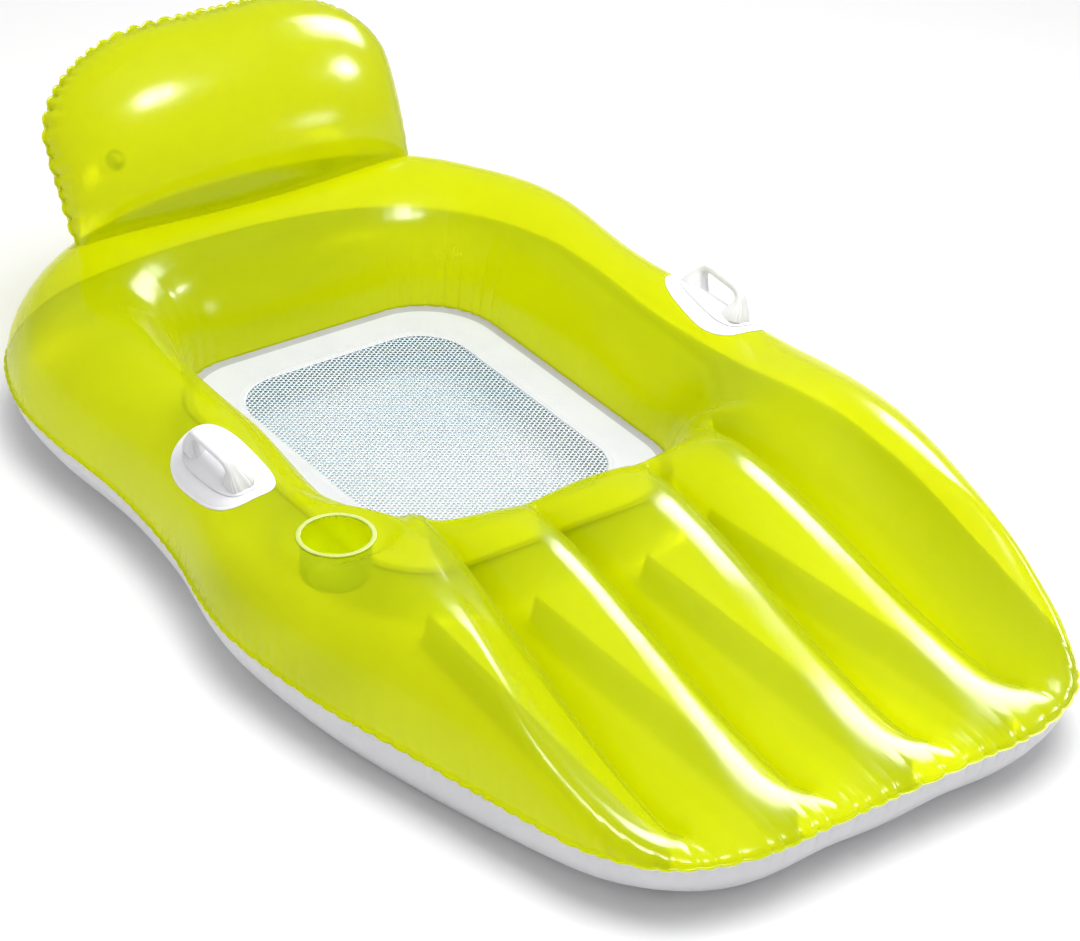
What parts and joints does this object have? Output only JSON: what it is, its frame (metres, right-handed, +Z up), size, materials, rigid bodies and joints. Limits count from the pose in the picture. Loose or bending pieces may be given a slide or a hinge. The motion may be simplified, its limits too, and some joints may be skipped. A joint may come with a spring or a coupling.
{
  "type": "inflatable pool chair",
  "caption": "Inflatable pool lounge chair: see-through lime body with a channelled leg rest, leaning backrest, open net seat, carry handles and a cup holder.",
  "frame": {"origin": "on the floor under the middle of the float's bounding box", "axes": "+Z up, -Y towards the foot end, +Y towards the backrest, the cup holder on the -X side"},
  "size_m": [1.0384, 1.6834, 0.4813],
  "materials": {
    "lime_film": "glossy see-through lime vinyl film",
    "white_film": "opaque white vinyl film, satin gloss",
    "web_film": "see-through lime vinyl strip inside the body",
    "white_border": "opaque white vinyl band",
    "white_net": "coated white open net",
    "lime_cup": "glossy see-through lime moulded vinyl",
    "clear_vinyl": "pale welded vinyl ring",
    "white_vinyl": "soft satin moulded white vinyl",
    "valve_vinyl": "milky soft vinyl"
  },
  "bodies": {
    "float": {"top_sheet": "lime_film", "backrest_front": "lime_film", "backrest_rear": "lime_film", "backrest_floor": "lime_film", "bottom_sheet": "white_film", "channel_web_1": "web_film", "channel_web_2": "web_film", "channel_web_3": "web_film", "channel_web_4": "web_film", "seat_border_lower": "white_border", "seat_border_upper": "white_border", "seat_net": "white_net", "cup_holder": "lime_cup", "cup_rim": "clear_vinyl", "handle_patch_left": "white_vinyl", "handle_patch_right": "white_vinyl", "handle_grip_left": "white_vinyl", "handle_grip_right": "white_vinyl", "body_valve_flange": "valve_vinyl", "backrest_valve_flange": "valve_vinyl"},
    "body_stem": {"body_valve_stem": "valve_vinyl"},
    "body_plug": {"body_valve_plug": "valve_vinyl"},
    "body_flap": {"body_valve_flap": "valve_vinyl"},
    "backrest_stem": {"backrest_valve_stem": "valve_vinyl"},
    "backrest_plug": {"backrest_valve_plug": "valve_vinyl"},
    "backrest_flap": {"backrest_valve_flap": "valve_vinyl"}
  },
  "joints": [
    {"name": "body_stem_slide", "type": "slide", "parent": "float", "child": "body_stem", "axis": [0.1881, 0.6392, 0.7457], "range_m": [0, 0.011]},
    {"name": "body_plug_hinge", "type": "hinge", "parent": "body_stem", "child": "body_plug", "pos_m": [0.1893, 0.74656, 0.19598], "axis": [-0.9696, 0, 0.2445], "range_deg": [0, 165]},
    {"name": "body_flap_hinge", "type": "hinge", "parent": "body_stem", "child": "body_flap", "pos_m": [0.18729, 0.73072, 0.18801], "axis": [0.9696, 0, -0.2445], "range_deg": [0, 40], "stiffness_Nm_per_rad": 0.0003},
    {"name": "backrest_stem_slide", "type": "slide", "parent": "float", "child": "backrest_stem", "axis": [-0.1257, 0.8042, -0.5809], "range_m": [0, 0.011]},
    {"name": "backrest_plug_hinge", "type": "hinge", "parent": "backrest_stem", "child": "backrest_plug", "pos_m": [-0.14871, 0.80202, 0.27882], "axis": [0.9774, 0, -0.2115], "range_deg": [0, 165]},
    {"name": "backrest_flap_hinge", "type": "hinge", "parent": "backrest_stem", "child": "backrest_flap", "pos_m": [-0.14782, 0.78467, 0.28292], "axis": [-0.9774, 0, 0.2115], "range_deg": [0, 40], "stiffness_Nm_per_rad": 0.0003}
  ]
}
